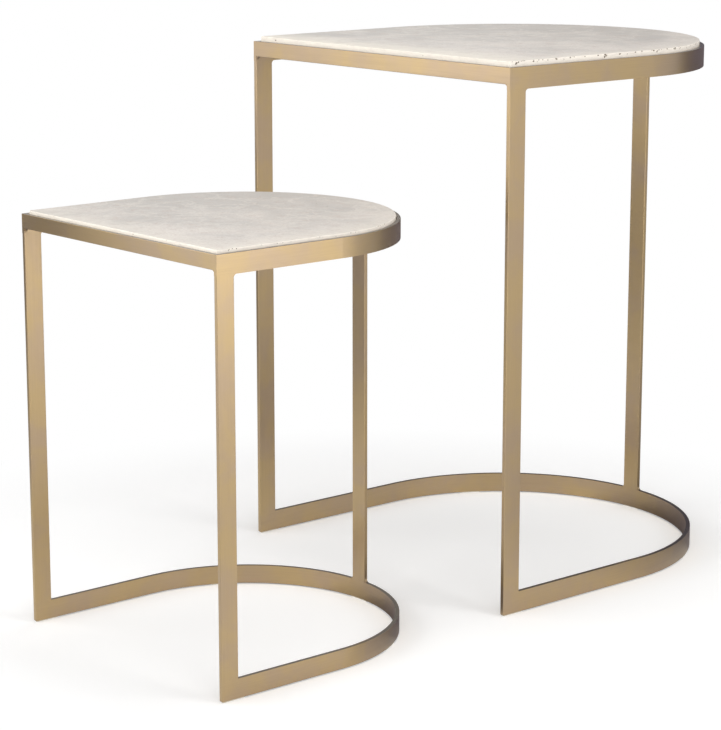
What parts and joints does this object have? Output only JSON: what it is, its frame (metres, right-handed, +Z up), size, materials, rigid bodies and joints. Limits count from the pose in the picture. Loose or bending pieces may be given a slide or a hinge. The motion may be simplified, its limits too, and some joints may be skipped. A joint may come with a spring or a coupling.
{
  "type": "nesting tables",
  "caption": "Nest of D-shaped side tables: stone tops set in flat-bar metal frames on open base hoops, the small table sliding in under the large.",
  "frame": {"origin": "on the floor, under the middle of the set's box as it stands with the small table drawn out", "axes": "+X along the straight fronts, +Y from the straight fronts to the round backs, +Z up"},
  "size_m": [0.479, 0.886, 0.642],
  "materials": {
    "travertine": "honed cream travertine, pores open",
    "brass_plate": "steel flat bar, antique-brass plated and brushed",
    "clear_bumper": "clear soft silicone",
    "nylon_glide": "pale nylon"
  },
  "bodies": {
    "large_table": {"large_stone_top": "travertine", "large_rim_band": "brass_plate", "large_front_rail": "brass_plate", "large_left_leg": "brass_plate", "large_right_leg": "brass_plate", "large_back_leg": "brass_plate", "large_base_hoop": "brass_plate", "large_support_tabs": "brass_plate", "large_top_bumpers": "clear_bumper", "large_floor_glides": "nylon_glide"},
    "small_table": {"small_stone_top": "travertine", "small_rim_band": "brass_plate", "small_front_rail": "brass_plate", "small_left_leg": "brass_plate", "small_right_leg": "brass_plate", "small_back_leg": "brass_plate", "small_base_hoop": "brass_plate", "small_support_tabs": "brass_plate", "small_top_bumpers": "clear_bumper", "small_floor_glides": "nylon_glide"}
  },
  "joints": [
    {"name": "nest_slide", "type": "slide", "parent": "large_table", "child": "small_table", "axis": [-0.1629, 0.9866, 0], "range_m": [-0.1, 0.4297]}
  ]
}
